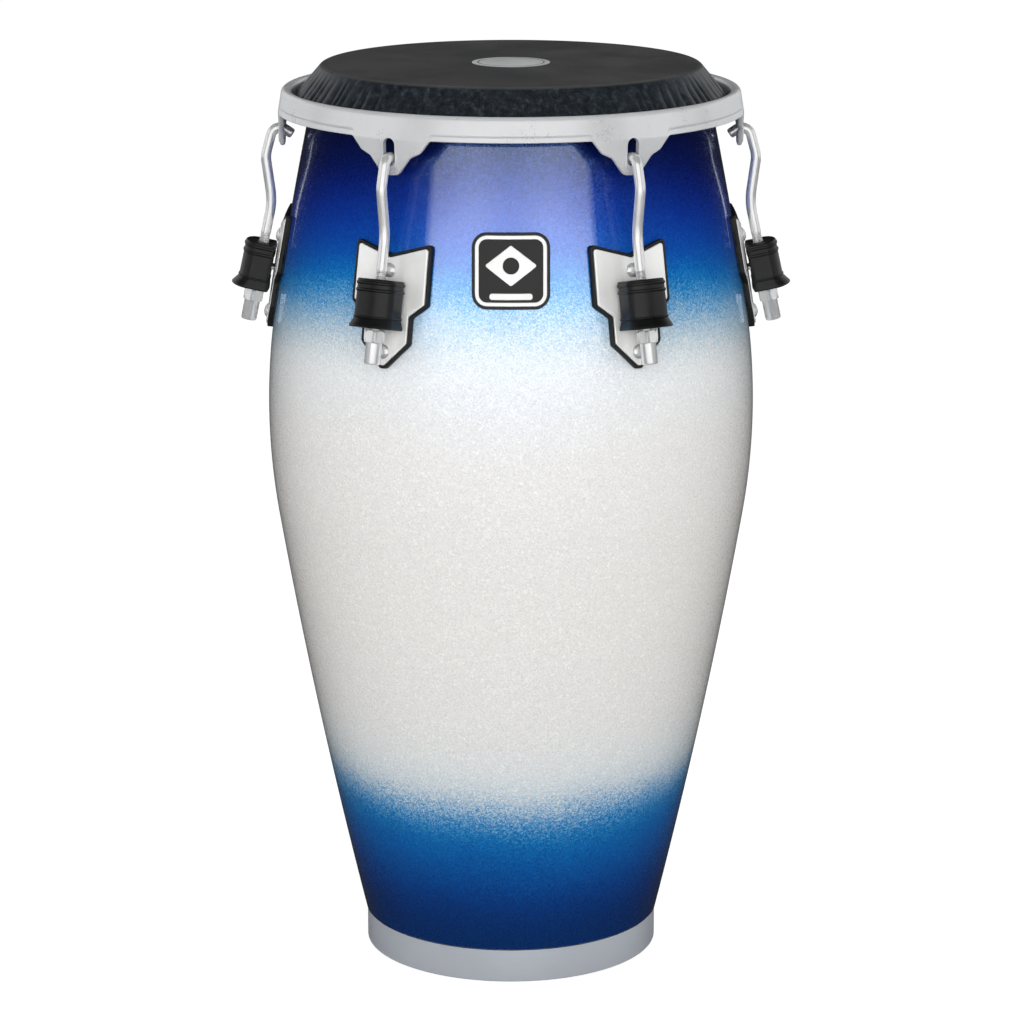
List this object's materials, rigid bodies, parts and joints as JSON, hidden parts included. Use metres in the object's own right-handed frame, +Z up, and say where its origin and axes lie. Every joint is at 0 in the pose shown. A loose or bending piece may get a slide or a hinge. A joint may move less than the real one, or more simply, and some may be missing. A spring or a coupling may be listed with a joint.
{
  "type": "conga drum",
  "caption": "Tall bellied hand drum with a sparkle fade shell, chrome counter-hoop, bent tension hooks, side plates, tuning nuts and a dark synthetic head.",
  "frame": {"origin": "centre of the bottom of the base, on the floor", "axes": "+Z up along the drum's axis, front with the badge towards -Y"},
  "size_m": [0.4668, 0.4112, 0.762],
  "materials": {
    "shell": "sparkle fade under gloss clear coat: blue at both ends, silver white between",
    "chrome": "polished",
    "ring_metal": "satin",
    "black_rubber": "matt",
    "black_plastic": "semi-matt moulding",
    "head_skin": "mottled dark grey, pleated collar",
    "disc_print": "plain light grey",
    "zinc_steel": "zinc plated",
    "badge_black": "gloss"
  },
  "bodies": {
    "shell": {"shell": "shell", "base_ring": "ring_metal", "base_rubber_edge": "black_rubber", "plate_screws": "chrome", "screw_washers": "zinc_steel", "screw_nuts": "zinc_steel", "backing_plates": "zinc_steel", "nut_washers": "zinc_steel", "badge_backing": "badge_black", "badge_face": "chrome", "side_plate_1": "chrome", "plate_gasket_1": "black_rubber", "bushing_1": "black_plastic", "side_plate_2": "chrome", "plate_gasket_2": "black_rubber", "bushing_2": "black_plastic", "side_plate_3": "chrome", "plate_gasket_3": "black_rubber", "bushing_3": "black_plastic", "side_plate_4": "chrome", "plate_gasket_4": "black_rubber", "bushing_4": "black_plastic", "side_plate_5": "chrome", "plate_gasket_5": "black_rubber", "bushing_5": "black_plastic", "side_plate_6": "chrome", "plate_gasket_6": "black_rubber", "bushing_6": "black_plastic"},
    "rim": {"tension_rim": "chrome", "flesh_hoop": "zinc_steel", "drum_head": "head_skin", "head_disc": "disc_print"},
    "hook_1": {"tension_hook_1": "chrome"},
    "nut_1": {"tuning_nut_1": "chrome"},
    "hook_2": {"tension_hook_2": "chrome"},
    "nut_2": {"tuning_nut_2": "chrome"},
    "hook_3": {"tension_hook_3": "chrome"},
    "nut_3": {"tuning_nut_3": "chrome"},
    "hook_4": {"tension_hook_4": "chrome"},
    "nut_4": {"tuning_nut_4": "chrome"},
    "hook_5": {"tension_hook_5": "chrome"},
    "nut_5": {"tuning_nut_5": "chrome"},
    "hook_6": {"tension_hook_6": "chrome"},
    "nut_6": {"tuning_nut_6": "chrome"}
  },
  "joints": [
    {"name": "nut_1_spin", "type": "hinge", "parent": "shell", "child": "nut_1", "pos_m": [0.21707, 0, 0.56283], "axis": [0.2079, 0, -0.9781], "range_deg": [0, 2900]},
    {"name": "hook_1_slide", "type": "slide", "parent": "shell", "child": "hook_1", "axis": [-0.2079, 0, 0.9781], "range_m": [0, 0.0101]},
    {"name": "nut_2_spin", "type": "hinge", "parent": "shell", "child": "nut_2", "pos_m": [0.10853, 0.18798, 0.56283], "axis": [0.104, 0.1801, -0.9781], "range_deg": [0, 2900]},
    {"name": "hook_2_slide", "type": "slide", "parent": "shell", "child": "hook_2", "axis": [-0.104, -0.1801, 0.9781], "range_m": [0, 0.0101]},
    {"name": "nut_3_spin", "type": "hinge", "parent": "shell", "child": "nut_3", "pos_m": [-0.10853, 0.18798, 0.56283], "axis": [-0.104, 0.1801, -0.9781], "range_deg": [0, 2900]},
    {"name": "hook_3_slide", "type": "slide", "parent": "shell", "child": "hook_3", "axis": [0.104, -0.1801, 0.9781], "range_m": [0, 0.0101]},
    {"name": "nut_4_spin", "type": "hinge", "parent": "shell", "child": "nut_4", "pos_m": [-0.21707, 0, 0.56283], "axis": [-0.2079, 0, -0.9781], "range_deg": [0, 2900]},
    {"name": "hook_4_slide", "type": "slide", "parent": "shell", "child": "hook_4", "axis": [0.2079, 0, 0.9781], "range_m": [0, 0.0101]},
    {"name": "nut_5_spin", "type": "hinge", "parent": "shell", "child": "nut_5", "pos_m": [-0.10853, -0.18798, 0.56283], "axis": [-0.104, -0.1801, -0.9781], "range_deg": [0, 2900]},
    {"name": "hook_5_slide", "type": "slide", "parent": "shell", "child": "hook_5", "axis": [0.104, 0.1801, 0.9781], "range_m": [0, 0.0101]},
    {"name": "nut_6_spin", "type": "hinge", "parent": "shell", "child": "nut_6", "pos_m": [0.10853, -0.18798, 0.56283], "axis": [0.104, -0.1801, -0.9781], "range_deg": [0, 2900]},
    {"name": "hook_6_slide", "type": "slide", "parent": "shell", "child": "hook_6", "axis": [-0.104, 0.1801, 0.9781], "range_m": [0, 0.0101]},
    {"name": "rim_lift", "type": "slide", "parent": "shell", "child": "rim", "axis": [0, 0, 1], "range_m": [0, 0.00978]}
  ],
  "couplings": [
    {"joint": "hook_1_slide", "follows": "rim_lift", "ratio": 1.0223},
    {"joint": "nut_1_spin", "follows": "rim_lift", "rad_per_m": 5138.8},
    {"joint": "hook_2_slide", "follows": "rim_lift", "ratio": 1.0223},
    {"joint": "nut_2_spin", "follows": "rim_lift", "rad_per_m": 5138.8},
    {"joint": "hook_3_slide", "follows": "rim_lift", "ratio": 1.0223},
    {"joint": "nut_3_spin", "follows": "rim_lift", "rad_per_m": 5138.8},
    {"joint": "hook_4_slide", "follows": "rim_lift", "ratio": 1.0223},
    {"joint": "nut_4_spin", "follows": "rim_lift", "rad_per_m": 5138.8},
    {"joint": "hook_5_slide", "follows": "rim_lift", "ratio": 1.0223},
    {"joint": "nut_5_spin", "follows": "rim_lift", "rad_per_m": 5138.8},
    {"joint": "hook_6_slide", "follows": "rim_lift", "ratio": 1.0223},
    {"joint": "nut_6_spin", "follows": "rim_lift", "rad_per_m": 5138.8}
  ]
}
